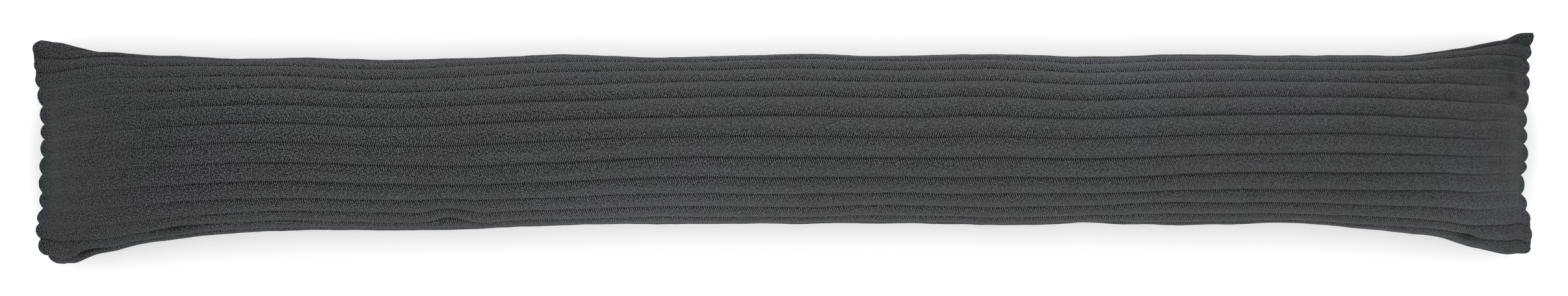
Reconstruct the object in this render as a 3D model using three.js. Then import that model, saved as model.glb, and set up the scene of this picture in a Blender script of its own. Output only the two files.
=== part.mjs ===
// A draught excluder: a long tube of chunky corded plush, filled and closed by a flat seam at each
// end, lying on a floor as it does in front of a door. Two equal faces are sewn edge to edge, with
// the cords running along the tube. Millimetres, +Z up; the length lies along X and the tube's
// upper face looks up. The origin is on the floor, under the middle of the tube.
import * as THREE from "three";
import { mergeVertices } from "three/addons/utils/BufferGeometryUtils.js";

// Driving dimensions
const LENGTH = 900; // from the foremost cord end at one seam to the same at the other
const CORDS = 13; // cords across each face; the outermost wrap the long sides
const CORD_DEPTH = 2.8; // from a cord's crest down to the valley beside it
const CORD_ROUNDNESS = 3; // 2 gives a round crest, more gives a flatter one with steeper sides
const PRESS = 0.6; // how much the cords that touch the floor are pressed flat

// The end seams, where both layers of the cloth are nipped together
const SEAM_THICKNESS = 7; // of both layers, over the crests
const SEAM_HEIGHT = 31; // of the middle of a seam over the floor
const SEAM_DROOP = 4; // how much lower its corners hang, before they curl
const SEAM_CORD_DEPTH = 1.7; // the valleys are shallower there
const SEAM_REACH = 45; // how far from the end plane the seam pulls the cords aside
const NIP_REACH = 9; // how far the nipped cloth stays flat
const SCALLOP = 2.4; // how far a cord's end bulges out past the valleys beside it
const SCALLOP_REACH = 9; // how long that bulge is

// The filled tube's outline and girth. x is the place along the tube, high and low the outline's
// two sides seen from above, crown and belly the top and the underside before the floor flattens
// it, and turn how far the cloth has crept round the tube towards the high side.
const SECTIONS = [
  { x: -450, high: 64.4, low: -68.0, crown: 34.5, belly: 27.5, turn: 0.0 },
  { x: -445, high: 64.8, low: -68.5, crown: 40.5, belly: 21.5, turn: 0.0 },
  { x: -437, high: 64.2, low: -68.8, crown: 48.0, belly: 15.5, turn: 0.2 },
  { x: -428, high: 62.0, low: -67.4, crown: 56.0, belly: 10.5, turn: 0.6 },
  { x: -415, high: 59.4, low: -63.8, crown: 66.0, belly: 5.5, turn: 1.2 },
  { x: -400, high: 57.6, low: -61.0, crown: 75.0, belly: 2.5, turn: 1.6 },
  { x: -382, high: 56.0, low: -57.4, crown: 83.0, belly: 0.0, turn: 2.0 },
  { x: -360, high: 55.4, low: -54.4, crown: 88.5, belly: -2.5, turn: 2.6 },
  { x: -330, high: 53.9, low: -51.0, crown: 91.5, belly: -3.5, turn: 2.4 },
  { x: -290, high: 54.4, low: -49.4, crown: 92.5, belly: -4.0, turn: 1.0 },
  { x: -240, high: 53.2, low: -50.0, crown: 91.5, belly: -4.0, turn: -1.2 },
  { x: -180, high: 54.3, low: -48.9, crown: 92.5, belly: -4.0, turn: -1.2 },
  { x: -145, high: 55.9, low: -47.3, crown: 93.0, belly: -4.0, turn: -0.2 },
  { x: -60, high: 54.7, low: -46.1, crown: 92.0, belly: -4.0, turn: 2.1 },
  { x: 5, high: 56.6, low: -46.0, crown: 93.0, belly: -4.0, turn: 1.8 },
  { x: 68, high: 55.5, low: -45.6, crown: 92.0, belly: -4.0, turn: 1.5 },
  { x: 125, high: 56.6, low: -46.8, crown: 93.0, belly: -4.0, turn: 1.2 },
  { x: 178, high: 55.1, low: -46.1, crown: 92.5, belly: -4.0, turn: 1.4 },
  { x: 250, high: 56.4, low: -46.9, crown: 93.0, belly: -4.0, turn: 2.2 },
  { x: 305, high: 55.4, low: -45.7, crown: 92.5, belly: -4.0, turn: 3.4 },
  { x: 345, high: 55.7, low: -49.0, crown: 90.5, belly: -3.0, turn: 4.6 },
  { x: 375, high: 56.0, low: -51.8, crown: 85.5, belly: -1.0, turn: 5.0 },
  { x: 395, high: 58.4, low: -54.4, crown: 79.0, belly: 1.5, turn: 4.8 },
  { x: 411, high: 60.2, low: -58.2, crown: 71.0, belly: 4.0, turn: 3.6 },
  { x: 424, high: 62.2, low: -61.6, crown: 59.5, belly: 8.5, turn: 2.0 },
  { x: 436, high: 65.8, low: -63.6, crown: 48.5, belly: 15.0, turn: 0.6 },
  { x: 445, high: 68.9, low: -64.3, crown: 40.5, belly: 21.5, turn: 0.0 },
  { x: 450, high: 68.9, low: -64.3, crown: 34.5, belly: 27.5, turn: 0.0 },
];

// The two end seams. cord counts valleys from the middle of a face, with a row for each valley and
// for the two long sides. leftY and rightY are the places where it meets the seam, leftBack and
// rightBack how far the seam stands back from the end plane there.
const SEAMS = [
  { cord: -7, leftY: -71.0, leftBack: 26.0, rightY: -68.0, rightBack: 14.0 },
  { cord: -6.5, leftY: -69.6, leftBack: 18.5, rightY: -65.2, rightBack: 8.0 },
  { cord: -6, leftY: -65.0, leftBack: 9.5, rightY: -56.1, rightBack: 2.4 },
  { cord: -5, leftY: -54.8, leftBack: 4.6, rightY: -46.7, rightBack: 3.5 },
  { cord: -4, leftY: -45.4, leftBack: 3.9, rightY: -37.2, rightBack: 5.3 },
  { cord: -3, leftY: -36.5, leftBack: 6.2, rightY: -27.8, rightBack: 7.6 },
  { cord: -2, leftY: -27.1, leftBack: 6.0, rightY: -16.5, rightBack: 7.8 },
  { cord: -1, leftY: -15.9, leftBack: 6.0, rightY: -8.5, rightBack: 5.8 },
  { cord: 0, leftY: -5.6, leftBack: 6.8, rightY: 2.3, rightBack: 6.2 },
  { cord: 1, leftY: 4.9, leftBack: 7.0, rightY: 11.8, rightBack: 6.4 },
  { cord: 2, leftY: 14.1, leftBack: 7.0, rightY: 22.1, rightBack: 6.4 },
  { cord: 3, leftY: 24.8, leftBack: 6.0, rightY: 33.9, rightBack: 4.7 },
  { cord: 4, leftY: 35.7, leftBack: 4.3, rightY: 43.9, rightBack: 4.7 },
  { cord: 5, leftY: 45.1, leftBack: 3.1, rightY: 52.8, rightBack: 4.3 },
  { cord: 6, leftY: 53.1, leftBack: 2.7, rightY: 61.6, rightBack: 2.0 },
  { cord: 6.5, leftY: 60.4, leftBack: 2.6, rightY: 68.9, rightBack: 2.4 },
  { cord: 7, leftY: 65.4, leftBack: 4.5, rightY: 73.0, rightBack: 6.0 },
];

// The four corners. roll is how far, in cords, the cloth creeps round the long side there, from the
// lower face to the upper; curl how far the corner bends up, in degrees, or down if negative. Both
// are full up to a distance hold from the end plane, and gone at the distance fade.
const CORNERS = [
  { end: "left", side: "high", roll: 0.5, curl: 12, hold: 8, fade: 36 },
  { end: "left", side: "low", roll: 0.0, curl: -14, hold: 16, fade: 60 },
  { end: "right", side: "high", roll: 0.05, curl: 10, hold: 10, fade: 60 },
  { end: "right", side: "low", roll: 0.12, curl: 14, hold: 10, fade: 50 },
];
const ROLL_FROM = 3; // the place across the face, in cords, from which a roll is felt
const CURL_FROM = 5.2; // the place across the face where a curl starts
const CURL_WIDTH = 8; // how wide the bend is

// Where the mesh has its points: across each cord, as shares of its width from a valley, and
// along the tube, as distances from an end plane, then evenly in between. The last place at each
// long side is just short of its crest, so that a narrow strip joins the two faces there.
const ACROSS_CORD = [0, 0.2, 0.5, 0.8];
const SIDE_STRIP = 0.1;
const NEAR_END = [0, 2, 5, 9, 14, 20, 28, 38, 50, 64, 80, 98];
const MIDDLE_STEPS = 25;
const OVAL_STEPS = 180; // short chords that measure an oval's girth

// A smooth curve through one column of a table, as a function of another.
function curveThrough(rows, key, column) {
  const curve = new THREE.CubicInterpolant(
    rows.map((row) => row[key]),
    rows.map((row) => row[column]),
    1,
  );
  return (at) => curve.evaluate(at)[0];
}

const outline = Object.fromEntries(
  ["high", "low", "crown", "belly", "turn"].map((name) => [name, curveThrough(SECTIONS, "x", name)]),
);
const seam = Object.fromEntries(
  ["leftY", "leftBack", "rightY", "rightBack"].map((name) => [name, curveThrough(SEAMS, "cord", name)]),
);

// 1 at the end plane, falling to 0 at a distance from it.
function fadeOut(fromEnd, reach) {
  return (1 - Math.min(fromEnd / reach, 1)) ** 2;
}

// How high the cloth stands at a place in its cord: 0 in the valley and 1 on the crest.
function crestShare(cord) {
  const share = cord - Math.floor(cord);
  return Math.sqrt(1 - Math.abs(2 * share - 1) ** CORD_ROUNDNESS);
}

// One cross-section over the crests: an oval, with the distance passed round it from the low side
// to the high side at each of its steps.
function ovalAt(x) {
  const high = outline.high(x);
  const low = outline.low(x);
  const crown = outline.crown(x);
  const belly = outline.belly(x);
  const halfWidth = (high - low) / 2;
  const halfHeight = (crown - belly) / 2;
  const passed = [0];
  for (let step = 1; step <= OVAL_STEPS; step++) {
    const angle = ((step - 0.5) / OVAL_STEPS) * Math.PI;
    const speed = Math.hypot(halfWidth * Math.sin(angle), halfHeight * Math.cos(angle));
    passed.push(passed[step - 1] + speed * (Math.PI / OVAL_STEPS));
  }
  return {
    middle: new THREE.Vector2((high + low) / 2, (crown + belly) / 2),
    halfWidth,
    halfHeight,
    passed,
    turn: outline.turn(x) / passed[OVAL_STEPS],
  };
}

// The angle round the oval, from its low side, at which a share of the half girth has been passed.
function angleAt(oval, share) {
  const wanted = share * oval.passed[OVAL_STEPS];
  const step = Math.max(1, oval.passed.findIndex((passed) => passed >= wanted));
  const before = oval.passed[step - 1];
  const inStep = (wanted - before) / (oval.passed[step] - before);
  return ((step - 1 + inStep) / OVAL_STEPS) * Math.PI;
}

// A point over the crests in a cross-section, as y and z, and the way out of the tube there. The
// cloth's own place is a share of the face's width from the low side, on the upper (1) or the
// lower (-1) face.
function skinAt(oval, share, face) {
  const round = THREE.MathUtils.euclideanModulo((face > 0 ? share : 2 - share) + oval.turn, 2);
  const angle = round <= 1 ? angleAt(oval, round) : -angleAt(oval, 2 - round);
  const away = new THREE.Vector2(-Math.cos(angle), Math.sin(angle));
  const size = new THREE.Vector2(oval.halfWidth, oval.halfHeight);
  const place = away.clone().multiply(size).add(oval.middle);
  const out = away.clone().divide(size).normalize();
  if (place.y < -PRESS) {
    place.y = -PRESS;
    out.set(0, -1);
  }
  return { place, out };
}

// Bends a corner of an end seam up or down, about the line where its curl starts.
function curlCorner(place, end, way, degrees) {
  const hinge = new THREE.Vector2(seam[end + "Y"](way * CURL_FROM), SEAM_HEIGHT - SEAM_DROOP);
  const past = way * (place.x - hinge.x);
  const bend = THREE.MathUtils.smoothstep(past, 0, CURL_WIDTH);
  place.rotateAround(hinge, way * bend * THREE.MathUtils.degToRad(degrees));
}

// One point of the cushion's surface. The cords are raised by sinking the valleys between them.
function surfacePoint(x, oval, cord, face) {
  const end = x < 0 ? "left" : "right";
  const side = cord < 0 ? "low" : "high";
  const way = Math.sign(cord);
  const half = CORDS / 2;
  const fromEnd = LENGTH / 2 - Math.abs(x);
  const pull = 1 - THREE.MathUtils.smoothstep(fromEnd, 0, SEAM_REACH);
  const nip = fadeOut(fromEnd, NIP_REACH);
  const bulge = fadeOut(fromEnd, SCALLOP_REACH);
  const crest = crestShare(cord);

  const corner = CORNERS.find((row) => row.end === end && row.side === side);
  const atCorner = 1 - THREE.MathUtils.smoothstep(fromEnd, corner.hold, corner.fade);
  const roll = corner.roll * atCorner;
  const crept = roll * THREE.MathUtils.smoothstep(Math.abs(cord), ROLL_FROM, half);

  // The place across the flat seam: a rolled side brings some of the lower face on top.
  const fold = half + roll;
  const flat = Math.abs(cord) + (face < 0 ? 2 * crept : 0);
  const seamCord = way * Math.min(flat, 2 * fold - flat);
  const seamFace = flat > fold ? -face : face;
  const aside = Math.min(Math.abs(seamCord) / fold, 1);
  const edgeRound = Math.sqrt(1 - aside ** 6);

  const { place, out } = skinAt(oval, (cord - way * face * crept) / CORDS + 0.5, face);
  const seamLevel = SEAM_HEIGHT + (seamFace * edgeRound * SEAM_THICKNESS) / 2;
  place.x = THREE.MathUtils.lerp(place.x, seam[end + "Y"](seamCord), pull);
  place.y = THREE.MathUtils.lerp(place.y, seamLevel, nip) - SEAM_DROOP * aside ** 2 * pull;
  out.lerp(new THREE.Vector2(0, seamFace), nip * edgeRound).normalize();
  const depth = THREE.MathUtils.lerp(CORD_DEPTH, SEAM_CORD_DEPTH, bulge);
  place.addScaledVector(out, -depth * (1 - crest));
  curlCorner(place, end, way, corner.curl * atCorner);

  const back = seam[end + "Back"](seamCord) * pull - SCALLOP * crest * bulge;
  return new THREE.Vector3(x - Math.sign(x) * back, place.x, Math.max(place.y, 0));
}

// The places along the tube where the mesh has its points.
function placesAlong() {
  const half = LENGTH / 2;
  const middle = half - NEAR_END[NEAR_END.length - 1];
  const left = NEAR_END.map((distance) => distance - half);
  const between = [];
  for (let step = 1; step < MIDDLE_STEPS; step++) {
    between.push(THREE.MathUtils.lerp(-middle, middle, step / MIDDLE_STEPS));
  }
  return [...left, ...between, ...left.map((x) => -x).reverse()];
}

// The places across a face, from one long side to the other, in cords from its middle valley.
function placesAcross() {
  const last = CORDS / 2 - SIDE_STRIP;
  const places = [-last];
  for (let cord = -Math.ceil(last); cord < last; cord++) {
    places.push(...ACROSS_CORD.map((share) => cord + share));
  }
  return [...places.filter((place) => Math.abs(place) <= last), last];
}

// The filled cover as one closed body. It starts as a flat box with a point at each place along
// and across the tube: its top is the upper face, its bottom the lower one, its long sides join
// them and its ends are the cloth's edge in the end seams. Then each point takes its real place.
function cushionGeometry() {
  const along = placesAlong();
  const across = placesAcross();
  const steps = new THREE.Vector2(along.length - 1, across.length - 1);
  const box = new THREE.BoxGeometry(steps.x, steps.y, 1, steps.x, steps.y, 1);
  box.deleteAttribute("normal");
  box.deleteAttribute("uv");
  const cover = mergeVertices(box);

  const ovals = along.map((x) => ovalAt(x));
  const points = cover.getAttribute("position");
  for (let i = 0; i < points.count; i++) {
    const station = Math.round(points.getX(i) + steps.x / 2);
    const cord = across[Math.round(points.getY(i) + steps.y / 2)];
    const face = Math.sign(points.getZ(i));
    const point = surfacePoint(along[station], ovals[station], cord, face);
    points.setXYZ(i, point.x, point.y, point.z);
  }

  cover.computeBoundingBox();
  const centre = cover.boundingBox.getCenter(new THREE.Vector3());
  cover.translate(-centre.x, -centre.y, -cover.boundingBox.min.z);
  cover.computeVertexNormals();
  return cover;
}

const plush = new THREE.MeshStandardMaterial({ color: 0x43474a, roughness: 0.95, metalness: 0 });

const cushion = new THREE.Mesh(cushionGeometry(), plush);
cushion.name = "cushion";

const draughtExcluder = new THREE.Group();
draughtExcluder.add(cushion);

export default draughtExcluder;
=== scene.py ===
# %% [markdown]
# # A draught excluder in chunky corded plush
# A draught excluder is a long cushion that lies along the foot of a door. Two strips of corded
# plush are sewn together along both sides, filled with fibre, and stitched flat at each end.
# This lesson builds the filled cover on a frame that was worked out first, so that its size and
# its resting place are already settled. Lengths in the tables are millimetres, as a maker would
# write them down, and the mesh itself is in metres, as Blender expects.

# %% Load the frame
import math

import bmesh
import bpy
import numpy as np
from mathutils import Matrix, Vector, noise


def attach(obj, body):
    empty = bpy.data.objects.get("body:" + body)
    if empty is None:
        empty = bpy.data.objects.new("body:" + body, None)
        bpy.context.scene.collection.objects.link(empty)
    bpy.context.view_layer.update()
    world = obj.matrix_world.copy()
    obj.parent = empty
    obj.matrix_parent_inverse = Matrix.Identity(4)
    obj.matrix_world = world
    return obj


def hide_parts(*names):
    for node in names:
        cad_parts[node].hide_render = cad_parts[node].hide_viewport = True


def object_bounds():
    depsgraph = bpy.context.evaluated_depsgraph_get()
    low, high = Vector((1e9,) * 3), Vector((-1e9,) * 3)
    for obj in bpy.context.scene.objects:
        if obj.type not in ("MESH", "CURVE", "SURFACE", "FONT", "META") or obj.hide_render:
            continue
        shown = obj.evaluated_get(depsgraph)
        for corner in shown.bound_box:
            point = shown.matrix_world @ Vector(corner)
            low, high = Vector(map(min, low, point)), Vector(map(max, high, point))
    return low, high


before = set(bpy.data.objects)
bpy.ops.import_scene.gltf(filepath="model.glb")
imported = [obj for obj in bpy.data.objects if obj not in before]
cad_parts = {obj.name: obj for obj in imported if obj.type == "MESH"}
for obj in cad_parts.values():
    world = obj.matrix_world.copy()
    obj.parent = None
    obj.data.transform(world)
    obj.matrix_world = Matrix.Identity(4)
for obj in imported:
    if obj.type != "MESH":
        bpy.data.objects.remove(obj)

MM = 0.001
frame_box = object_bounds()
frame_size = [high - low for low, high in zip(*frame_box)]
print("frame, in mm:", [round(side / MM, 1) for side in frame_size])

# %% [markdown]
# ## The sizes of the cover
# The cords are the raised ribs of the plush. Thirteen run along each face, and the outermost one
# wraps the long side where the two faces join. Between two cords lies a valley, where the ground
# cloth shows as a thin dark line. All sizes of the cover stand here, so that a maker can change
# the tube by changing one number.

# %% Sizes
LENGTH = 900.0  # between the foremost cord ends
CORDS = 13  # across each face
HALF = CORDS / 2  # the long side, in cords from the middle valley
TUBE_RADIUS = 50.0  # about, at mid tube
CORD_WIDTH = math.pi * TUBE_RADIUS / CORDS  # measured round the tube
ACROSS_CORD = 3  # columns of vertices in each cord, before it is made finer
LAST_COLUMN = HALF - 0.5 / ACROSS_CORD  # the last one before the long side
CORD_DEPTH = 2.5  # from a crest down to the valley
CORD_ROUNDNESS = 2.9  # 2 is a round cord, more gives a flatter crest and a narrower valley
PROUD = 0.35  # the share of that depth by which crests stand out past the outline
PRESS = 0.6  # how far the floor presses the cords flat

SEAM_THICKNESS = 7.0  # of both layers at an end seam, over the crests
SEAM_HEIGHT = 31.0  # of a seam's middle over the floor
SEAM_DROOP = 4.0  # how much lower its corners hang
SEAM_REACH = dict(left=42.0, right=20.0)  # how far each seam pulls the cords aside
NIP_REACH = 16.0  # how far the nipped layers stay flat
SEAM_CORD_DEPTH = 0.5  # how deep the valleys still are at the seam
SHALLOW_REACH = dict(left=160.0, right=60.0)  # how far from each seam they are shallower
SCALLOP = 2.4  # how far a cord's end bulges past the valleys beside it
SCALLOP_REACH = 9.0  # how long that bulge is
LOBE = 0.85  # 0.5 is a round lobe, 1 a pointed one
CORNER_ROUND = 3.0  # how far the very corners stand back
CORNER_POWER = 24  # a higher power rounds less of the end
SEAM_EDGE_POWER = 6  # a higher power keeps the two layers apart nearer to the corners
print("cord width at mid tube, in mm:", round(CORD_WIDTH, 1))

# %% [markdown]
# ## The shape of the filling
# A filled tube is nearly round in the middle and flattens towards its end seams. Each row of
# this table is one cross-section: where its two sides lie, how high its crown and its belly are,
# and how the cloth has crept round it. turn moves all the cords towards the high side, and
# spread pulls them apart towards both sides. The floor then flattens the belly.

# %% Cross-sections
SECTIONS = [
    dict(x=-450, high=64.4, low=-68.0, crown=34.5, belly=27.5, turn=0.0, spread=0.0),
    dict(x=-445, high=65.6, low=-68.5, crown=40.5, belly=21.5, turn=-3.0, spread=-1.0),
    dict(x=-437, high=65.2, low=-68.8, crown=48.0, belly=15.5, turn=-3.0, spread=-1.4),
    dict(x=-428, high=62.2, low=-67.4, crown=56.0, belly=10.5, turn=-1.2, spread=-2.2),
    dict(x=-415, high=59.4, low=-63.8, crown=66.0, belly=5.5, turn=-1.2, spread=-2.0),
    dict(x=-400, high=57.6, low=-61.8, crown=75.0, belly=2.5, turn=0.0, spread=-2.1),
    dict(x=-382, high=56.0, low=-58.3, crown=83.0, belly=0.0, turn=0.6, spread=-3.0),
    dict(x=-360, high=55.4, low=-55.2, crown=88.5, belly=-2.5, turn=0.8, spread=-4.2),
    dict(x=-330, high=53.9, low=-51.8, crown=91.5, belly=-3.5, turn=1.5, spread=-3.0),
    dict(x=-290, high=54.4, low=-50.0, crown=92.5, belly=-4.0, turn=0.6, spread=-2.8),
    dict(x=-240, high=53.2, low=-50.0, crown=91.5, belly=-4.0, turn=-0.7, spread=-2.5),
    dict(x=-180, high=54.3, low=-48.9, crown=92.5, belly=-4.0, turn=-1.2, spread=0.0),
    dict(x=-145, high=55.9, low=-47.3, crown=93.0, belly=-4.0, turn=-1.0, spread=0.9),
    dict(x=-60, high=54.7, low=-46.1, crown=92.0, belly=-4.0, turn=1.8, spread=2.3),
    dict(x=5, high=56.6, low=-46.0, crown=93.0, belly=-4.0, turn=1.4, spread=1.7),
    dict(x=68, high=55.5, low=-45.6, crown=92.0, belly=-4.0, turn=1.4, spread=1.3),
    dict(x=125, high=56.6, low=-46.8, crown=93.0, belly=-4.0, turn=1.4, spread=0.9),
    dict(x=178, high=55.1, low=-46.1, crown=92.5, belly=-4.0, turn=0.8, spread=-0.2),
    dict(x=250, high=56.4, low=-46.9, crown=93.0, belly=-4.0, turn=2.9, spread=-2.3),
    dict(x=305, high=55.4, low=-45.7, crown=92.5, belly=-4.0, turn=3.2, spread=-2.1),
    dict(x=345, high=55.7, low=-49.0, crown=90.5, belly=-3.0, turn=4.5, spread=-3.4),
    dict(x=375, high=56.0, low=-51.8, crown=85.5, belly=-1.0, turn=4.8, spread=-4.2),
    dict(x=395, high=58.4, low=-54.4, crown=79.0, belly=1.5, turn=4.4, spread=-3.6),
    dict(x=411, high=61.0, low=-59.2, crown=71.0, belly=4.0, turn=4.6, spread=-4.0),
    dict(x=424, high=64.0, low=-61.8, crown=59.5, belly=8.5, turn=4.4, spread=-3.0),
    dict(x=436, high=65.8, low=-64.0, crown=48.5, belly=15.0, turn=4.4, spread=-2.2),
    dict(x=445, high=68.9, low=-64.0, crown=40.5, belly=21.5, turn=3.4, spread=-2.4),
    dict(x=450, high=68.9, low=-64.0, crown=34.5, belly=27.5, turn=0.0, spread=0.0),
]
print(len(SECTIONS), "cross-sections")

# %% [markdown]
# ## The end seams
# At each end the two layers are nipped together, and the stitching draws every valley to its own
# place. cord counts valleys from the middle of a face. For each end, the y columns say where the
# valley meets the seam and the back columns how far the seam stands back from the end plane.

# %% Seams
SEAMS = [
    dict(cord=-7, left_y=-71.0, left_back=20.5, right_y=-64.2, right_back=2.6),
    dict(cord=-6.5, left_y=-69.8, left_back=14.5, right_y=-61.6, right_back=2.4),
    dict(cord=-6, left_y=-65.0, left_back=7.2, right_y=-57.4, right_back=2.0),
    dict(cord=-5, left_y=-54.8, left_back=3.6, right_y=-46.7, right_back=2.5),
    dict(cord=-4, left_y=-45.4, left_back=2.9, right_y=-37.2, right_back=4.3),
    dict(cord=-3, left_y=-36.5, left_back=5.2, right_y=-27.8, right_back=6.6),
    dict(cord=-2, left_y=-27.1, left_back=5.0, right_y=-16.5, right_back=6.8),
    dict(cord=-1, left_y=-15.9, left_back=5.0, right_y=-8.5, right_back=4.8),
    dict(cord=0, left_y=-5.6, left_back=5.8, right_y=2.3, right_back=5.2),
    dict(cord=1, left_y=4.9, left_back=6.0, right_y=11.8, right_back=5.4),
    dict(cord=2, left_y=14.1, left_back=6.0, right_y=22.1, right_back=5.4),
    dict(cord=3, left_y=24.8, left_back=5.0, right_y=33.9, right_back=3.7),
    dict(cord=4, left_y=35.7, left_back=3.3, right_y=43.9, right_back=3.7),
    dict(cord=5, left_y=45.1, left_back=2.1, right_y=52.8, right_back=3.3),
    dict(cord=6, left_y=54.8, left_back=1.2, right_y=61.6, right_back=1.0),
    dict(cord=6.5, left_y=61.0, left_back=0.2, right_y=69.0, right_back=-1.0),
    dict(cord=7, left_y=65.6, left_back=1.8, right_y=73.0, right_back=0.6),
]
print(len(SEAMS), "places along each end seam")

# %% [markdown]
# The four corners differ. roll brings some of the lower face up over the long side, counted in
# cords. fold says how much of it the seam shows, and curl bends the corner up, or down if it is
# negative. All three last as far as hold from the end and are gone at fade.

# %% Corners
CORNERS = {
    ("left", "high"): dict(roll=0.45, fold=0.45, curl=6, hold=16, fade=52),
    ("left", "low"): dict(roll=0.0, fold=0.0, curl=-8, hold=16, fade=60),
    ("right", "high"): dict(roll=0.05, fold=0.05, curl=10, hold=10, fade=60),
    ("right", "low"): dict(roll=0.0, fold=0.5, curl=0, hold=14, fade=60),
}
ROLL_FROM = 3.0  # the place across the face, in cords, from which a roll is felt
CURL_FROM = 5.2  # the place where a curl starts
CURL_WIDTH = 8.0  # how wide its bend is
print("corners:", [" ".join(corner) for corner in CORNERS])

# %% [markdown]
# ## From a place on the cloth to a place in space
# The tables are joined up by smooth curves. Each cross-section is an oval whose girth is shared
# out evenly among the cords, because every cord of the cloth is as wide as the next. Near the
# ends the oval gives way to the flat seam. The function below takes places on the cloth, along
# the tube and across it, and returns where the crests of the cords lie.

# %% Curves and fades


def curve_through(rows, key, column):
    """A smooth curve through one column of a table, as a function of another."""
    at = np.array([row[key] for row in rows], dtype=float)
    value = np.array([row[column] for row in rows], dtype=float)
    slope = np.gradient(value, at)

    def curve(x):
        x = np.clip(x, at[0], at[-1])
        i = np.clip(np.searchsorted(at, x) - 1, 0, len(at) - 2)
        step = at[i + 1] - at[i]
        t = (x - at[i]) / step
        ends = value[i] * (1 + 2 * t) * (1 - t) ** 2 + value[i + 1] * t**2 * (3 - 2 * t)
        return ends + step * (slope[i] * t * (1 - t) ** 2 - slope[i + 1] * t**2 * (1 - t))

    return curve


def smoothstep(x, start, end):
    """0 before start, 1 after end, and a soft slope between them."""
    t = np.clip((x - start) / (end - start), 0, 1)
    return t * t * (3 - 2 * t)


def fade_out(from_end, reach):
    """1 at the end plane, falling to 0 at a distance from it."""
    return (1 - np.minimum(from_end / reach, 1)) ** 2


outline = {
    name: curve_through(SECTIONS, "x", name)
    for name in ("high", "low", "crown", "belly", "turn", "spread")
}
seam = {
    name: curve_through(SEAMS, "cord", name)
    for name in ("left_y", "left_back", "right_y", "right_back")
}
print("curves:", ", ".join([*outline, *seam]))

# %% The cloth round one cross-section
OVAL_STEPS = 360  # short chords that measure an oval's girth


def ring_of_cloth(x, cord, face):
    """Where the crests lie at one place along the tube, as y and z, in millimetres."""
    high, low, crown, belly = (outline[name](x) for name in ("high", "low", "crown", "belly"))
    half_width = (high - low) / 2
    half_height = (crown - belly) / 2
    angles = np.linspace(0, math.pi, OVAL_STEPS + 1)
    speed = np.hypot(half_width * np.sin(angles), half_height * np.cos(angles))
    chords = (speed[1:] + speed[:-1]) / 2 * math.pi / OVAL_STEPS
    passed = np.concatenate([[0], np.cumsum(chords)])

    share = cord / CORDS + 0.5
    creep = (outline["turn"](x) + outline["spread"](x) * (2 * share - 1)) / passed[-1]
    around = np.mod(np.where(face >= 0, share, 2 - share) + creep, 2)
    upper = around <= 1
    angle = np.interp(np.where(upper, around, 2 - around) * passed[-1], passed, angles)
    angle = np.where(upper, angle, -angle)
    y = (high + low) / 2 - half_width * np.cos(angle)
    z = (crown + belly) / 2 + half_height * np.sin(angle)
    return y, np.maximum(z, -PRESS)


print("cross-section helper ready")


# %% The cloth pulled into a seam


def place_cloth(x, cord, face):
    """Places on the cloth at one x, as points over the crests, in millimetres."""
    end = "left" if x < 0 else "right"
    from_end = LENGTH / 2 - abs(x)
    pull = fade_out(from_end, SEAM_REACH[end])
    nip = fade_out(from_end, NIP_REACH)
    way = np.where(cord < 0, -1.0, 1.0)
    by_side = [CORNERS[end, "low" if side < 0 else "high"] for side in (-1, 1)]

    def corner(name):
        return np.where(cord < 0, by_side[0][name], by_side[1][name])

    at_corner = 1 - smoothstep(from_end, corner("hold"), corner("fade"))
    beside_edge = smoothstep(np.abs(cord), ROLL_FROM, HALF)

    fold = HALF + corner("fold") * at_corner
    flat = np.abs(cord) + np.where(face < 0, 2 * (fold - HALF) * beside_edge, 0)
    seam_cord = way * np.minimum(flat, 2 * fold - flat)
    layer = np.where(np.abs(cord) > LAST_COLUMN, np.where(face < 0, -1.0, 1.0), face)
    layer = np.where(flat > fold, -layer, layer)
    aside = np.minimum(np.abs(seam_cord) / fold, 1)
    edge_round = np.sqrt(1 - aside**SEAM_EDGE_POWER)

    around = np.where(face < 0, CORDS - np.abs(cord), np.abs(cord))
    around = around - corner("roll") * at_corner * beside_edge
    above = around <= HALF
    y, z = ring_of_cloth(x, way * np.where(above, around, CORDS - around), np.where(above, 1, -1))
    seam_level = SEAM_HEIGHT + layer * edge_round * SEAM_THICKNESS / 2
    y = y + (seam[end + "_y"](seam_cord) - y) * pull
    z = z + (seam_level - z) * nip - SEAM_DROOP * aside**2 * pull

    hinge_y = seam[end + "_y"](way * CURL_FROM)
    hinge_z = SEAM_HEIGHT - SEAM_DROOP
    bend = smoothstep(way * (y - hinge_y), 0, CURL_WIDTH) * at_corner
    angle = way * bend * np.radians(corner("curl"))
    from_y, from_z = y - hinge_y, z - hinge_z
    y = hinge_y + from_y * np.cos(angle) - from_z * np.sin(angle)
    z = hinge_z + from_y * np.sin(angle) + from_z * np.cos(angle)

    back = (seam[end + "_back"](seam_cord) + CORNER_ROUND * aside**CORNER_POWER) * pull
    return np.stack([x - np.sign(x) * back, y, z], axis=-1)


middle = place_cloth(0.0, np.array([0.0, HALF, 0.0]), np.array([1.0, 1.0, -1.0]))
print("crown, side and belly at mid tube, in mm:", middle.round(1).tolist())

# %% [markdown]
# ## The blank
# The blank is two flat grids of cloth, one over the other, joined all round. create_grid makes
# the upper one, duplicate and reverse_faces make the lower one, and bridge_loops sews the four
# edges in one go. Every vertex remembers its own place on the cloth in three attributes, along,
# cord and face, so that later steps can find it again however the mesh has moved.

# %% Where the blank has its vertices
NEAR_END = [0, 1.5, 3.5, 6, 9.5, 14, 20, 27, 35, 44, 54, 66, 79, 92]
MIDDLE_STEPS = 50
MIDDLE = LENGTH / 2 - NEAR_END[-1]

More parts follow.
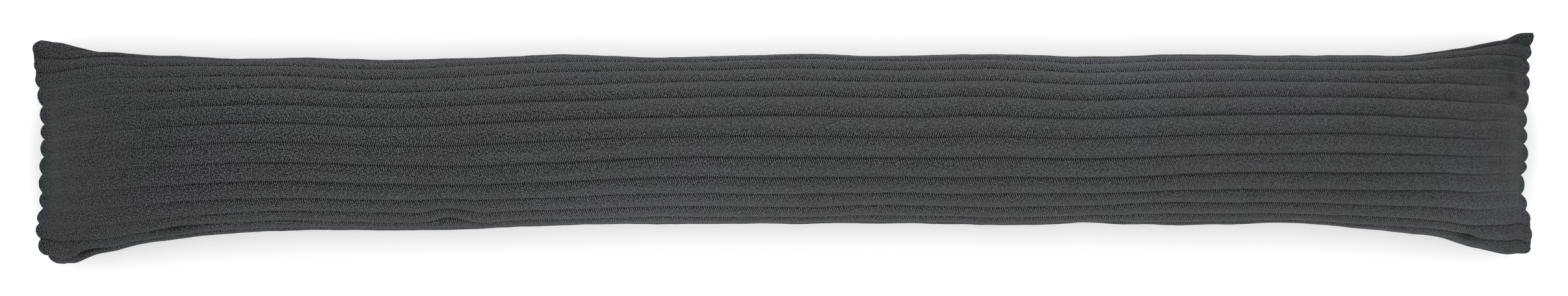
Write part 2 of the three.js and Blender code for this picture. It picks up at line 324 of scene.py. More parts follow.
left_places = [distance - LENGTH / 2 for distance in NEAR_END]
middle_places = np.linspace(-MIDDLE, MIDDLE, MIDDLE_STEPS + 1)[1:-1]
ALONG = np.array([*left_places, *middle_places, *(-x for x in reversed(left_places))])
ACROSS = np.linspace(-LAST_COLUMN, LAST_COLUMN, CORDS * ACROSS_CORD)
print(len(ALONG), "places along by", len(ACROSS), "across each face")

# %% Two grids sewn together


def make_blank():
    """Two joined grids whose vertices stand at whole numbers, as column, row and face."""
    bm = bmesh.new()
    columns, rows = len(ALONG) - 1, len(ACROSS) - 1
    bmesh.ops.create_grid(bm, x_segments=columns, y_segments=rows, size=0.5)
    bmesh.ops.scale(bm, vec=(columns, rows, 1), verts=bm.verts[:])
    bmesh.ops.translate(bm, vec=(columns / 2, rows / 2, 1), verts=bm.verts[:])
    lower = bmesh.ops.duplicate(bm, geom=bm.verts[:] + bm.edges[:] + bm.faces[:])["geom"]
    lower_verts = [part for part in lower if isinstance(part, bmesh.types.BMVert)]
    lower_faces = [part for part in lower if isinstance(part, bmesh.types.BMFace)]
    bmesh.ops.translate(bm, vec=(0, 0, -2), verts=lower_verts)
    bmesh.ops.reverse_faces(bm, faces=lower_faces)
    rims = [edge for edge in bm.edges if edge.is_boundary]
    bmesh.ops.bridge_loops(bm, edges=rims)
    bmesh.ops.recalc_face_normals(bm, faces=bm.faces[:])
    return bm


def name_places(bm):
    """Turns the whole numbers into places on the cloth, kept as attributes."""
    along, cord, face = (bm.verts.layers.float.new(name) for name in ("along", "cord", "face"))
    for vert in bm.verts:
        vert[along] = ALONG[round(vert.co.x)]
        vert[cord] = ACROSS[round(vert.co.y)]
        vert[face] = vert.co.z


blank = make_blank()
name_places(blank)
print(len(blank.faces), "faces in the blank; open edges:", sum(e.is_boundary for e in blank.edges))

# %% [markdown]
# ## Giving the blank its shape
# Moving the vertices to their places turns the flat blank into a filled tube in one step. Real
# filling is never even, so a slow noise moves each cord a little sideways. The noise is Blender's
# own and has no seed to forget: the same place always gives the same value. Where the long side
# was squeezed, a few short waves are left in its cords; the table says where, and push is how far
# they move, in cords, towards the high side.

# %% Uneven filling
WANDER = 0.06  # how far the middle cords stray sideways, in cords
OUTER_WANDER = 0.10  # how much further the outermost cords stray
WANDER_LENGTH = 60.0  # how long their bends are
CORD_CHANGE = 0.45  # how unlike its neighbour each cord strays
FACE_CHANGE = 0.7  # how unlike each other the two faces are
CALM_TO, LOOSE_FROM = 8.0, 60.0  # from an end: where straying starts, and where it is full
WAVE_POWER = 12  # a higher power lets the waves run nearer to the long side
WAVES = [
    dict(name="wave at the pinch", x=-199, cord=-4.6, long=12, wide=1.4, push=0.46),
    dict(name="dip after it", x=-178, cord=-4.9, long=9, wide=1.2, push=-0.16),
    dict(name="wave by the folds", x=186, cord=-5.5, long=8, wide=1.0, push=0.24),
    dict(name="rise after them", x=226, cord=-4.6, long=42, wide=1.3, push=0.22),
    dict(name="wave on the high side", x=-262, cord=5.2, long=14, wide=1.2, push=-0.12),
]


def wave(x, cord):
    """How far the waves move a place of the upper face, in cords."""
    push = 0.0
    for row in WAVES:
        off = ((x - row["x"]) / row["long"]) ** 2 + ((cord - row["cord"]) / row["wide"]) ** 2
        push += row["push"] * math.exp(-off)
    return push * (1 - (cord / HALF) ** WAVE_POWER)


def stray(x, cord, face):
    """A place across the face, moved a little to one side by a slow noise."""
    spot = Vector((x / WANDER_LENGTH, cord * CORD_CHANGE, face * FACE_CHANGE))
    free = float(smoothstep(LENGTH / 2 - abs(x), CALM_TO, LOOSE_FROM))
    loose = WANDER + OUTER_WANDER * (cord / HALF) ** 2
    moved = cord + loose * free * noise.noise(spot) + (wave(x, cord) if face > 0 else 0)
    return min(max(moved, -HALF), HALF)


def lay_cloth(along, cord, face):
    """Places all the vertices on the filled tube, ring by ring, in millimetres."""
    strayed = np.array([stray(*place) for place in zip(along, cord, face)])
    rings = along.round(3)
    laid = np.empty((len(along), 3))
    for x in np.unique(rings):
        ring = rings == x
        laid[ring] = place_cloth(float(x), strayed[ring], face[ring])
    return laid


def shape_blank(bm):
    """Moves the blank's vertices to the crests' places on the filled tube."""
    along, cord, face = (bm.verts.layers.float[name] for name in ("along", "cord", "face"))
    places = np.array([(vert[along], vert[cord], vert[face]) for vert in bm.verts])
    for vert, spot in zip(bm.verts, lay_cloth(*places.T)):
        vert.co = Vector(spot) * MM


shape_blank(blank)
cover_mesh = bpy.data.meshes.new("cushion_cover")
blank.to_mesh(cover_mesh)
blank.free()
cover = bpy.data.objects.new("cushion_cover", cover_mesh)
bpy.context.scene.collection.objects.link(cover)
print("shaped blank, in mm:", [round(side / MM, 1) for side in cover.dimensions])

# %% [markdown]
# ## Letting the filling press
# Blender's cloth simulation blows the cover up from inside, as fibre does. The cloth is given a
# little more length than it needs, so that it buckles softly where real cloth does. The tables
# have settled the size already, so only the unevenness is kept: how much further than the rest
# each place moved outwards. It is stored as one more attribute, capped, and the blank itself
# goes back to its shape, so no simulation stays on the piece.

# %% Press the filling
PRESSURE = 4.0
SPARE_CLOTH = 0.012  # extra length, as a share
LAST_FRAME = 20
CAP = 1.2  # the most that is kept, in millimetres
NIPPED_TO, FILLED_FROM = 12.0, 70.0  # from an end: where the filling starts, and where it is full


def co_of(mesh):
    """The mesh's vertices as rows of x, y and z."""
    values = np.empty(len(mesh.vertices) * 3)
    mesh.vertices.foreach_get("co", values)
    return values.reshape(-1, 3)


def press_filling(piece):
    """Runs the cloth simulation and returns the unevenness that it leaves, in millimetres."""
    start = co_of(piece.data)
    outwards = np.array([vert.normal for vert in piece.data.vertices])
    cloth = piece.modifiers.new("filling", "CLOTH")
    settings = cloth.settings
    settings.quality = 5
    settings.mass = 0.3
    settings.tension_stiffness = 40
    settings.compression_stiffness = 20
    settings.shear_stiffness = 15
    settings.bending_stiffness = 4
    settings.use_pressure = True
    settings.uniform_pressure_force = PRESSURE
    settings.shrink_min = -SPARE_CLOTH
    settings.effector_weights.gravity = 0
    cloth.collision_settings.use_collision = False
    cloth.point_cache.frame_start = 1
    cloth.point_cache.frame_end = LAST_FRAME
    for step in range(1, LAST_FRAME + 1):
        bpy.context.scene.frame_set(step)
    moved = co_of(piece.evaluated_get(bpy.context.evaluated_depsgraph_get()).data)
    piece.modifiers.remove(cloth)
    bpy.context.scene.frame_set(1)

    swelling = ((moved - start) * outwards).sum(axis=1) / MM
    print("the filling swells the cloth by", swelling.mean().round(2), "mm,", end=" ")
    print("give or take", swelling.std().round(2))
    inside = smoothstep(LENGTH / 2 - np.abs(start[:, 0]) / MM, NIPPED_TO, FILLED_FROM)
    return np.clip(swelling - swelling.mean(), -CAP, CAP) * inside


uneven = cover_mesh.attributes.new("uneven", "FLOAT", "POINT")
uneven.data.foreach_set("value", press_filling(cover))

# %% [markdown]
# ## A finer mesh
# Two levels of Subdivision Surface round the coarse cover and give each cord twelve columns of
# vertices, enough for a round crest and a narrow valley. The modifier is applied at once,
# because the next step moves the new vertices. The attributes are carried along.

# %% Subdivide the cover
LEVELS = 2


def subdivide(piece, levels):
    """Applies a subdivision surface to the piece's mesh."""
    finer = piece.modifiers.new("finer", "SUBSURF")
    finer.levels = levels
    finer.render_levels = levels
    evaluated = piece.evaluated_get(bpy.context.evaluated_depsgraph_get())
    mesh = bpy.data.meshes.new_from_object(evaluated)
    piece.modifiers.remove(finer)
    old = piece.data
    piece.data = mesh
    bpy.data.meshes.remove(old)
    mesh.name = piece.name


subdivide(cover, LEVELS)
print(len(cover.data.polygons), "faces after subdivision")

# %% [markdown]
# ## Raising the cords
# Subdivision rounds a mesh inwards, so every vertex of the finer mesh is first laid on the
# crests again, from its own three attributes. Then the valleys between the cords are sunk along
# the surface's normals. A valley is narrow and sharp, because the cords' pile closes over it.
# Where the tube lies on the floor, its crests are pressed flat and the valleys stay open.

# %% Read the places back
CLUSTER = 0.45  # 0 spaces the columns evenly


def read_floats(mesh, name):
    """One of the mesh's float attributes as an array."""
    values = np.empty(len(mesh.vertices))
    mesh.attributes[name].data.foreach_get("value", values)
    return values


def cluster(cord):
    """Draws the columns of vertices together beside the valleys, where the cloth bends most."""
    share = cord - np.floor(cord)
    return cord - CLUSTER * np.sin(2 * math.pi * share) / (2 * math.pi)


mesh = cover.data
along = read_floats(mesh, "along")
face = read_floats(mesh, "face")
cord = read_floats(mesh, "cord")
cord = np.sign(cord) * (np.abs(cord) + (HALF - LAST_COLUMN) * (1 - np.abs(face)))
cord = cluster(cord)
points = lay_cloth(along, cord, face)
mesh.vertices.foreach_set("co", (points * MM).ravel())
mesh.update()
normals = np.array([vert.normal for vert in mesh.vertices])
uneven = read_floats(mesh, "uneven")
print("crests, in mm:", np.ptp(points, axis=0).round(1).tolist())
print("unevenness from the filling, in mm:", uneven.std().round(2))

# %% [markdown]
# Handling leaves soft creases. Each row of this table is one of them: where it lies, how far it
# reaches along and across, how deep it is, and how dark its colour is made there. In the creases
# and folds that sink the cloth, and along the high long side by the right end, that dark is painted
# shade; in the shallow patches it is pile pressed or brushed the other way; less than nothing is
# paler, and there the grey is a little bluer. They stay shallow except beside the corners, where
# the cloth folds over into a small pocket. Cords over 6.5 are counted on, round the long side and
# onto the lower face.

# %% Creases
CREASES = [
    dict(name="pocket at tucked corner", x=-417, cord=-5.9, long=8, wide=0.20, deep=4.5, dark=0.95),
    dict(name="long fold above it", x=-361, cord=-5.0, long=12, wide=0.25, deep=2.0, dark=0.6),
    dict(name="slit at rolled corner", x=-419, cord=6.75, long=9, wide=0.30, deep=1.5, dark=0.8),
    dict(name="crease beside it", x=-398, cord=6.0, long=12, wide=0.20, deep=1.4, dark=0.5),
    dict(name="pinch on the low side", x=-199, cord=-5.0, long=7, wide=0.22, deep=1.6, dark=0.5),
    dict(name="dimple at right corner", x=409, cord=-6.0, long=6, wide=0.30, deep=2.2, dark=0.7),
    dict(name="wrinkle on the low side", x=199, cord=-5.8, long=6, wide=0.50, deep=1.0, dark=0.1),
    dict(name="fold under the low side", x=181, cord=-6.6, long=10, wide=0.30, deep=1.6, dark=0.3),
    dict(name="next fold along", x=214, cord=-6.3, long=8, wide=0.30, deep=1.0, dark=0.1),
    dict(name="wrinkle on the high side", x=-330, cord=6.0, long=9, wide=0.40, deep=1.4, dark=0.2),
    dict(name="first brushed patch", x=436, cord=3.6, long=5, wide=0.32, deep=0.3, dark=0.5),
    dict(name="second brushed patch", x=437, cord=2.6, long=5, wide=0.32, deep=0.3, dark=0.6),
    dict(name="third brushed patch", x=436, cord=4.5, long=6, wide=0.30, deep=0.2, dark=0.3),
    # painted shade along the high long side by the right end
    dict(name="shade on the high side", x=418, cord=6.4, long=42, wide=0.60, deep=0.0, dark=0.50),
    dict(name="darker high cords", x=425, cord=4.6, long=40, wide=1.20, deep=0.0, dark=0.20),
    dict(name="paler high side", x=220, cord=4.6, long=75, wide=2.20, deep=0.0, dark=-0.18),
    dict(name="paler low side", x=-70, cord=-4.4, long=75, wide=2.60, deep=0.0, dark=-0.18),
    dict(name="paler low cords", x=425, cord=-4.2, long=45, wide=2.20, deep=0.0, dark=-0.20),
]


def sink_and_shade_creases(x, cord, face):
    """How deep the creases sink the cloth, in millimetres, and how dark they are painted, to 1,
    mostly as shade.
    """
    around = np.where(face < 0, np.sign(cord) * (CORDS - np.abs(cord)), cord)
    depth = np.zeros_like(x)
    dark = np.zeros_like(x)
    for crease in CREASES:
        near = np.exp(-(((x - crease["x"]) / crease["long"]) ** 2))
        near *= np.exp(-(((around - crease["cord"]) / crease["wide"]) ** 2))
        depth += crease["deep"] * near
        dark += crease["dark"] * near
    return depth, np.minimum(dark, 1)


crease_depth, crease_dark = sink_and_shade_creases(along, cord, face)
print("deepest crease, in mm:", crease_depth.max().round(2))

# %% Sink the valleys
KEEP_OUTER = 0.55  # how much of their depth the outer valleys keep near the ends
INNER_TO, OUTER_FROM = 3.5, 5.5  # cords up to the first aren't outer ones, from the second fully
LUMP = 0.22  # uneven height of the pile
LUMP_SIZE = 7.0
DENT = 0.55  # uneven height of the filling below it
DENT_SIZE = 24.0


def cord_profile(cord):
    """0 in a valley and 1 on a crest, and how far a place leans to the outward side, -1 to 1."""
    share = cord - np.floor(cord)
    crest = np.sqrt(1 - np.abs(2 * share - 1) ** CORD_ROUNDNESS)
    lean = np.sin(2 * math.pi * share) * -np.sign(cord)
    return crest, lean


def raise_cords():
    """Sinks the valleys and rounds the cords' ends; returns the finished points."""
    crest, _ = cord_profile(cord)
    from_end = LENGTH / 2 - np.abs(along)
    reach = np.where(along < 0, SHALLOW_REACH["left"], SHALLOW_REACH["right"])
    near_end = 1 - smoothstep(from_end / reach, 0, 1)
    near_end *= 1 - KEEP_OUTER * smoothstep(np.abs(cord), INNER_TO, OUTER_FROM)
    depth = CORD_DEPTH + (SEAM_CORD_DEPTH - CORD_DEPTH) * near_end
    lumps = np.array([noise.noise(Vector(point) / LUMP_SIZE) for point in points]) * LUMP
    lumps += np.array([noise.noise(Vector(point) / DENT_SIZE) for point in points]) * DENT
    sunk = depth * (1 - PROUD - crest) + crease_depth - lumps - uneven
    bulge = fade_out(from_end, SCALLOP_REACH)
    flattened = np.stack([1 - bulge, np.ones_like(bulge), np.ones_like(bulge)], axis=-1)
    done = points - normals * flattened * sunk[:, None]
    share = cord - np.floor(cord)
    lobe = (1 - (2 * share - 1) ** 2) ** LOBE
    done[:, 0] += np.sign(along) * SCALLOP * lobe * bulge
    done[:, 2] = np.maximum(done[:, 2], 0)
    return done


finished = raise_cords()
mesh.vertices.foreach_set("co", (finished * MM).ravel())
mesh.update()
print("finished cover, in mm:", np.ptp(finished, axis=0).round(1).tolist())

# %% [markdown]
# ## Unrolling the cloth
# A pattern that follows the cords needs flat coordinates, so the cover gets a UV map as if the
# cloth were unrolled: u runs along the tube and v round it, both in metres. A second map packs
# the same cloth into a unit square, in four rows, for baking. Two more attributes tell the
# material which side of a cord faces outwards, for the slits and the painted light, and how dark
# each crease is painted, mostly as painted shade.

# %% UV maps and attributes
ROWS = 4
ROW_MARGIN = 0.01
END_BAND = 0.1  # vertices this near to an end lie round its edge, in millimetres


def unroll(mesh):
    """Adds the two UV maps; the long side of low cords is where the flat cloth is cut."""
    corners = np.empty(len(mesh.loops), dtype=int)
    mesh.loops.foreach_get("vertex_index", corners)
    sides = np.empty(len(mesh.polygons), dtype=int)
    mesh.polygons.foreach_get("loop_total", sides)
    polygon = np.repeat(np.arange(len(sides)), sides)

    def middle_of(values):
        return np.bincount(polygon, values[corners]) / sides

    lower = (middle_of(face) < 0)[polygon]
    right = (middle_of(along) > 0)[polygon]
    at_end = np.abs(along) > LENGTH / 2 - END_BAND
    edge = np.where(at_end, (1 - np.abs(face)) * SEAM_THICKNESS / 2, 0)
    u = (along + np.sign(along) * edge)[corners]
    around = np.where(lower, CORDS - cord[corners], cord[corners])
    cloth = mesh.uv_layers.new(name="cloth")
    cloth.data.foreach_set("uv", np.stack([u, around * CORD_WIDTH], axis=-1).ravel() * MM)

    room = 1 - 2 * ROW_MARGIN
    row = lower * 2 + right
    half_length = LENGTH / 2 + SEAM_THICKNESS / 2
    across = np.where(lower, around - HALF, around + HALF) / CORDS
    flat_u = ROW_MARGIN + room * np.where(right, u, u + half_length) / half_length
    flat_v = (row + ROW_MARGIN + room * across) / ROWS
    packed = mesh.uv_layers.new(name="OFBake")
    packed.data.foreach_set("uv", np.stack([flat_u, flat_v], axis=-1).ravel())
    return row


def add_floats(mesh, name, values):
    """Keeps an array as a float attribute of the mesh's vertices."""
    mesh.attributes.new(name, "FLOAT", "POINT").data.foreach_set("value", values)


rows = unroll(mesh)
_, lean = cord_profile(cord)
add_floats(mesh, "lean", lean)
# the creases' painted shade, and the pile pressed, brushed or made paler there
add_floats(mesh, "crease_shade_and_tone", crease_dark)
print("corners in each row of the packed map:", np.bincount(rows).tolist())

# %% [markdown]
# ## Shader maths as Python
# A material is a graph of nodes. To keep it readable, a small class wraps a socket and gives it
# the usual operators, so that 1 - pile adds a Math node. Every other node comes from one method
# that sets its settings first and then its sockets.

# %% A wrapped socket


class Wire:
    """A shader socket that takes part in Python expressions."""

    def __init__(self, shader, socket):
        self.shader = shader
        self.socket = socket

    def _maths(self, operation, first, second=None):
        values = {0: first} if second is None else {0: first, 1: second}
        return self.shader.node("ShaderNodeMath", {"operation": operation}, values)

    def __add__(self, other):
        return self._maths("ADD", self, other)

    def __sub__(self, other):
        return self._maths("SUBTRACT", self, other)

    def __mul__(self, other):
        return self._maths("MULTIPLY", self, other)

    def __rsub__(self, other):
        return self._maths("SUBTRACT", other, self)

    __radd__ = __add__
    __rmul__ = __mul__

    def sine(self):
        return self._maths("SINE", self)

    def size(self):
        return self._maths("ABSOLUTE", self)

    def fraction(self):
        return self._maths("FRACT", self)


class Shader:
    """Builds one material's node tree."""

    def __init__(self, name):
        self.material = bpy.data.materials.new(name)
        self.material.use_nodes = True
        self.tree = self.material.node_tree
        self.tree.nodes.clear()

    def node(self, kind, settings=None, inputs=None, output=0):
        """Adds a node: its settings first, then its sockets; returns one wrapped output."""
        made = self.tree.nodes.new(kind)
        for name, value in (settings or {}).items():
            setattr(made, name, value)
        for name, value in (inputs or {}).items():
            if isinstance(value, Wire):
                self.tree.links.new(value.socket, made.inputs[name])
            else:
                made.inputs[name].default_value = value
        return Wire(self, made.outputs[output]) if made.outputs else None

    def attribute(self, name):
        """One of the mesh's own float attributes."""
        return self.node("ShaderNodeAttribute", {"attribute_name": name}, output=2)

    def ramp(self, value, low, high):
        """0 where the value is at low or beyond it, 1 at high, and a soft slope between."""
        inputs = {"Value": value, "From Min": low, "From Max": high}
        return self.node("ShaderNodeMapRange", {"interpolation_type": "SMOOTHSTEP"}, inputs)

    def noise(self, place, scale, detail):
        """Even noise between about 0 and 1."""
        inputs = {"Vector": place, "Scale": scale, "Detail": detail, "Roughness": 0.5}
        return self.node("ShaderNodeTexNoise", {"noise_dimensions": "3D"}, inputs)

    def mix_colour(self, share, first, second):
        """One colour giving way to another."""
        settings = {"data_type": "RGBA", "clamp_factor": True}
        inputs = {0: share, 6: first, 7: second}
        return self.node("ShaderNodeMix", settings, inputs, output=2)


print("shader helpers ready")

# %% [markdown]
# ## The plush
# Corded plush is a ground cloth with dense, short pile. From a step away it is dark grey with a
# soft sheen; from close up the pile parts in small slits, a little over a millimetre apart. They
# start in the valleys and lean the same way along the tube on both sides of a cord, so that two
# cords side by side look like a herringbone. The side of a cord that faces the middle of the
# tube is bent open and shows the most slits, and the outward side is nearly smooth. The pile
# lies smoother towards the right end, and the slits are less orderly towards the left one.
# One pattern feeds both the bump and the colour: painted shade in the slits, light between them.

# %% Plush sizes and colours
SLIT_PITCH = 1.3  # millimetres from slit to slit
SLIT_SLOPE = 0.42  # how far a slit leans along the cord for each millimetre up its side
SLIT_LENGTH = 1.5  # about how long the slits are before the pile closes
SLOW_BEND = 2.6  # how far the slits stray from their even places, in millimetres
QUICK_BEND = 0.9
PILE_RELIEF = 0.5 * MM  # how deep the bump is

# darkest colour, for the pile's own darker tone and for painted shade in slits and creases
PILE_DARK_AND_SHADE = (0.0030, 0.0032, 0.0034, 1)
GREY_PILE = (0.0800, 0.0845, 0.0885, 1)
GREEN_PILE = (0.0780, 0.0895, 0.0915, 1)
BLUE_PILE = (0.0830, 0.0900, 0.1040, 1)
SHEEN_TINT = (0.80, 0.88, 0.92, 1)
print("a slit every", SLIT_PITCH, "mm")

# %% [markdown]
# Most of the pattern is made of soft ramps. This table says for each of them where it is 0 and
# where it is 1. The comments say what a ramp goes by. A noise's scale is how many grains it has
# in a metre, except that disorder counts them in slits.

# %% Where things start and where they are full
RAMPS = {
    # millimetres along the tube, from its middle
    "left": dict(low=20.0, high=-260.0),
    "right": dict(low=90.0, high=430.0),
    "rough": dict(low=-200.0, high=-360.0),
    "dark_left": dict(low=-270.0, high=-400.0),
    "dark_right": dict(low=150.0, high=350.0),
    "near_end": dict(low=345.0, high=440.0),
    # the share of a face's width, from its middle
    "outer": dict(low=0.06, high=0.34),
    "off_the_sides": dict(low=0.38, high=0.30),
    # how far a place leans outwards, from -1 to 1
    "inward": dict(low=0.5, high=-0.6),
    "outward": dict(low=-0.8, high=0.9),
    # millimetres from the nearest valley; open counts them from where the slits end
    "in_order": dict(low=4.5, high=1.0),
    "calm": dict(low=3.4, high=0.5),
    "valley": dict(low=1.0, high=0.1),
    "open": dict(low=-2.4, high=1.6),
    # the height of the pattern, or of its even part alone for the dots
    "slits": dict(low=-0.05, high=0.50),
    "ridges": dict(low=0.0, high=-0.9),
    "dots": dict(low=-0.4, high=0.6),
    # how dark a crease is, and then a noise
    "paler": dict(low=0.0, high=-0.2),
    "blue": dict(low=0.53, high=0.70),
    "green": dict(low=0.40, high=0.60),
}
NOISES = {
    "slow_bend": dict(scale=70.0, detail=2.0),
    "quick_bend": dict(scale=420.0, detail=2.0),
    "disorder": dict(scale=1.7, detail=2.0),
    "patch": dict(scale=30.0, detail=2.0),
    "blue": dict(scale=16.0, detail=2.0),
    "green": dict(scale=23.0, detail=2.0),
    "speckle": dict(scale=1150.0, detail=1.0),
    "fuzz": dict(scale=700.0, detail=1.0),
}
print(len(RAMPS), "ramps and", len(NOISES), "noises")

# %% [markdown]
# The weights say how much each part counts. REACH is how far up a cord's side the slits reach, in
# millimetres, and BRIGHT how light the pile is, where 1 would be its full colour. Beside the pile's
# own tone and speckle, it holds painted light: a lighter outward side on each cord, painted
# highlights between the slits, and painted sheen on the smooth pile by the ends. The others are
# shares of 1.

# %% How much each part counts
REACH = dict(least=0.7, inward=3.2, outer=1.8, left=3.6, patch=9.0, right=-2.4)
BRIGHT = dict(least=0.45, outward=0.06, speckle=1.25, ridges=0.60, calm=0.10)
ENDS_DIMMED = dict(least=1, dark_left=-0.27, dark_right=-0.12)
ORDER = dict(least=0.12, in_order=0.50)
DISORDER = dict(least=3.3, rough=0.9)
LESS_ORDER_ROUGH = 0.38  # how much less even the slits are by the left end
CLOSED_SHOWS = 0.50  # of a slit where the pile is closed
LESS_RIGHT = 0.36  # how much weaker the slits are by the right end
LESS_CALM = 0.8  # and where the valleys run into an end seam
MORE_LEFT = 0.08  # widens the slits by the left end
FEWER_DOTS_LEFT = 0.5
# painted shade in the slits, where the pile is open
SLIT_PAINTED_SHADE = 0.97
DOTS_DARK = 0.75
BLUE_MOST = 0.8
PALER_IS_BLUER = 0.16  # where a crease's pile catches the light
FUZZ = 0.25  # the height of the fuzz, where a slit is 1 deep


def weigh(weights, **parts):
    """The parts, each times its own weight, added to the least value."""
    total = weights["least"]
    for name, part in parts.items():
        total = total + part * weights[name]
    return total


print("brightness is made of:", ", ".join(BRIGHT))

# %% Plush pattern


def pile_pattern(s, u, v, place):
    """How deep the pile opens in slits, the painted highlights between, and the valleys' dark."""

    def ramp(name, value):
        return s.ramp(value, **RAMPS[name])

    def even_noise(name, spot=place):
        return s.noise(spot, **NOISES[name]) - 0.5

    share = (v * (1 / CORD_WIDTH)).fraction()
    from_valley = (0.5 - (share - 0.5).size()) * CORD_WIDTH
    bend = even_noise("slow_bend") * SLOW_BEND + even_noise("quick_bend") * QUICK_BEND
    turns = (u - from_valley * SLIT_SLOPE + bend) * (1 / SLIT_PITCH)
    spot = s.node("ShaderNodeCombineXYZ", inputs={0: turns, 1: v * (1 / SLIT_LENGTH)})
    ripple = (turns * (2 * math.pi)).sine()
    rough = ramp("rough", u)
    order = weigh(ORDER, in_order=ramp("in_order", from_valley)) * (1 - rough * LESS_ORDER_ROUGH)
    pattern = ripple * order + even_noise("disorder", spot) * weigh(DISORDER, rough=rough)

    left = ramp("left", u)
    right = ramp("right", u)
    across = (v * (1 / CORD_WIDTH / CORDS) + 0.5).fraction() - 0.5
    reach = weigh(
        REACH,
        inward=ramp("inward", s.attribute("lean")),
        outer=ramp("outer", across.size()),
        left=left,
        patch=even_noise("patch"),
        right=right,
    )
    open_here = ramp("open", reach - from_valley)
    at_end = ramp("near_end", u.size()) * ramp("off_the_sides", across.size())
    calm = ramp("calm", from_valley) * at_end
    amount = CLOSED_SHOWS + open_here * (1 - CLOSED_SHOWS)
    amount = amount * (1 - right * LESS_RIGHT) * (1 - calm * LESS_CALM)
    slits = ramp("slits", pattern + left * MORE_LEFT) * amount
    # painted highlights: the pile between the slits is made lighter
    ridges = ramp("ridges", pattern) * amount
    dots = ramp("valley", from_valley) * ramp("dots", ripple)
    dots = dots * (1 - at_end) * (1 - left * FEWER_DOTS_LEFT)
    return slits, ridges, dots, calm


print("pile pattern ready")

# %% Plush material


def plush_material():
    """Dark grey plush, finished from the cloth's own coordinates."""
    s = Shader("corded_plush")
    cloth = s.node("ShaderNodeUVMap", {"uv_map": "cloth"})
    place = s.node("ShaderNodeTexCoord", output=3)
    u = s.node("ShaderNodeSeparateXYZ", inputs={0: cloth}) * (1 / MM)
    v = s.node("ShaderNodeSeparateXYZ", inputs={0: cloth}, output=1) * (1 / MM)
    slits, ridges, dots, calm = pile_pattern(s, u, v, place)
    crease_shade_and_tone = s.attribute("crease_shade_and_tone")

    bluer = s.ramp(crease_shade_and_tone, **RAMPS["paler"]) * PALER_IS_BLUER
    blue = s.ramp(s.noise(place, **NOISES["blue"]) + bluer, **RAMPS["blue"])
    green = s.ramp(s.noise(place, **NOISES["green"]), **RAMPS["green"])
    pile = s.mix_colour(green, GREY_PILE, GREEN_PILE)
    pile = s.mix_colour(blue * BLUE_MOST, pile, BLUE_PILE)
    bright = weigh(
        BRIGHT,
        # painted light: the outward side of each cord is made lighter
        outward=s.ramp(s.attribute("lean"), **RAMPS["outward"]),
        speckle=s.noise(place, **NOISES["speckle"]) - 0.5,
        ridges=ridges,
        # painted sheen: the smooth pile where the valleys run into an end is made lighter
        calm=calm,
    )
    dark_left = s.ramp(u, **RAMPS["dark_left"])
    dark_right = s.ramp(u, **RAMPS["dark_right"])
    bright = bright * weigh(ENDS_DIMMED, dark_left=dark_left, dark_right=dark_right)
    # painted shade: the slits and the deeper creases darken the colour; the dots are the ground
    # cloth
    shade = bright * (1 - slits * SLIT_PAINTED_SHADE) * (1 - dots * DOTS_DARK) * (1 - crease_shade_and_tone)
    colour = s.mix_colour(shade, PILE_DARK_AND_SHADE, pile)

    height = s.noise(place, **NOISES["fuzz"]) * FUZZ - slits
    bump = s.node(
        "ShaderNodeBump", inputs={"Height": height, "Strength": 0.8, "Distance": PILE_RELIEF}
    )
    surface = s.node(
        "ShaderNodeBsdfPrincipled",
        inputs={
            "Base Color": colour,
            "Roughness": 0.95,
            "Specular IOR Level": 0.1,
            "Sheen Weight": 0.1,
            "Sheen Roughness": 0.3,
            "Sheen Tint": SHEEN_TINT,
            "Normal": bump,
        },
    )
    s.node("ShaderNodeOutputMaterial", inputs={"Surface": surface})
    return s.material


mesh.materials.clear()
mesh.materials.append(plush_material())
for polygon in mesh.polygons:
    polygon.use_smooth = True
print("plush nodes:", len(mesh.materials[0].node_tree.nodes))

# %% [markdown]
# ## Telling the frame about the piece
# The cover is a padded piece that stands for the frame's plain solid and rides on its only body.

# %% Hand the cover over
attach(cover, "root")
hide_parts("cushion")
print("the cover has", sum(len(p.vertices) - 2 for p in mesh.polygons), "triangles")

# %% [markdown]
# ## Floor, light and camera
# The floor is plain and nearly white. Two long soft lights stand low beside the tube, so that
# each cord is bright on its outward side and dark on the other, and a broad one above fills in.
# The camera looks straight down through a long lens, which keeps the ends as wide as they are.

# %% Floor
FLOOR_SIZE = 4.0  # metres from its middle to each side
PALE = (0.9, 0.9, 0.9, 1)

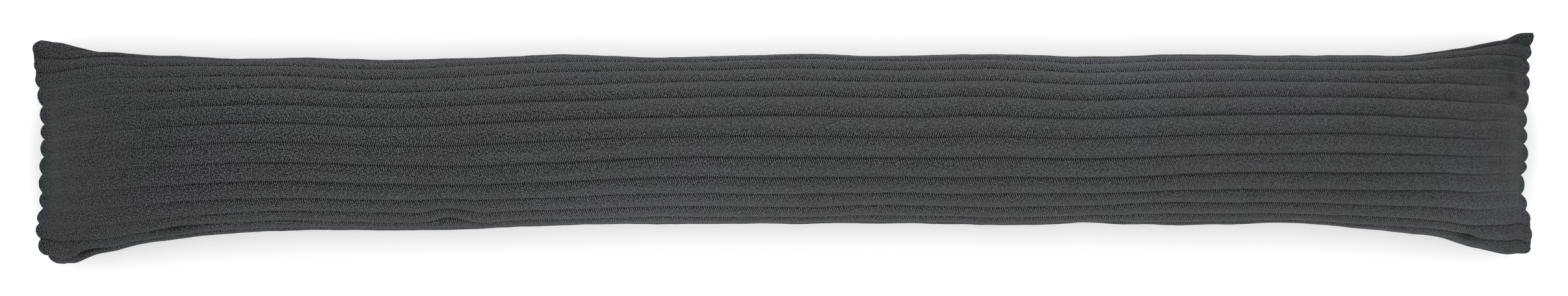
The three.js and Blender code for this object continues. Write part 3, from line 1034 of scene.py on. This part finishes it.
floor_mesh = bpy.data.meshes.new("floor")
floor_bm = bmesh.new()
bmesh.ops.create_grid(floor_bm, x_segments=1, y_segments=1, size=FLOOR_SIZE)
floor_bm.to_mesh(floor_mesh)
floor_bm.free()
floor = bpy.data.objects.new("floor", floor_mesh)
bpy.context.scene.collection.objects.link(floor)
floor_shader = Shader("pale_floor")
floor_surface = floor_shader.node(
    "ShaderNodeBsdfPrincipled", inputs={"Base Color": PALE, "Roughness": 0.9}
)
floor_shader.node("ShaderNodeOutputMaterial", inputs={"Surface": floor_surface})
floor_mesh.materials.append(floor_shader.material)
print("the floor is", 2 * FLOOR_SIZE, "m wide")

# %% Lights
WHITE = (1, 1, 1, 1)
ROOM_LIGHT = 0.8  # the strength of the even light all round
LIGHTS = [
    dict(name="over_light", at=(0.0, 0.0, 2.2), width=2.4, depth=1.8, power=24.0),
    dict(name="high_side_light", at=(0.0, 1.5, 0.75), width=2.4, depth=0.6, power=20.0),
    dict(name="low_side_light", at=(0.0, -1.5, 0.75), width=2.4, depth=0.6, power=17.0),
]
for row in LIGHTS:
    lamp = bpy.data.lights.new(row["name"], "AREA")
    lamp.shape = "RECTANGLE"
    lamp.size = row["width"]
    lamp.size_y = row["depth"]
    lamp.energy = row["power"]
    light = bpy.data.objects.new(row["name"], lamp)
    light.location = row["at"]
    light.rotation_euler = (-Vector(row["at"])).to_track_quat("-Z", "Y").to_euler()
    bpy.context.scene.collection.objects.link(light)

world = bpy.data.worlds.new("soft_room")
world.use_nodes = True
background = world.node_tree.nodes["Background"]
background.inputs["Color"].default_value = WHITE
background.inputs["Strength"].default_value = ROOM_LIGHT
bpy.context.scene.world = world
bpy.context.scene.view_settings.view_transform = "Standard"
print(len(LIGHTS), "lights")

# %% Camera
PICTURE_WIDTH = 2412  # pixels
OBJECT_WIDTH = 2312  # pixels between the cover's two ends in the picture
LENS = 120.0
SENSOR = 36.0
EYE_LEVEL = 45.0 * MM  # where the tube is widest, and its size in the picture is true
ASIDE_X, ASIDE_Y = 0.4 * MM, -0.2 * MM  # the tube isn't quite in the picture's middle

frame_width = LENGTH * MM * PICTURE_WIDTH / OBJECT_WIDTH
camera_data = bpy.data.cameras.new("camera")
camera_data.lens = LENS
camera_data.sensor_width = SENSOR
camera = bpy.data.objects.new("camera", camera_data)
camera.location = (ASIDE_X, ASIDE_Y, EYE_LEVEL + frame_width * LENS / SENSOR)
bpy.context.scene.collection.objects.link(camera)
bpy.context.scene.camera = camera
print("camera height, in m:", round(camera.location.z, 3))
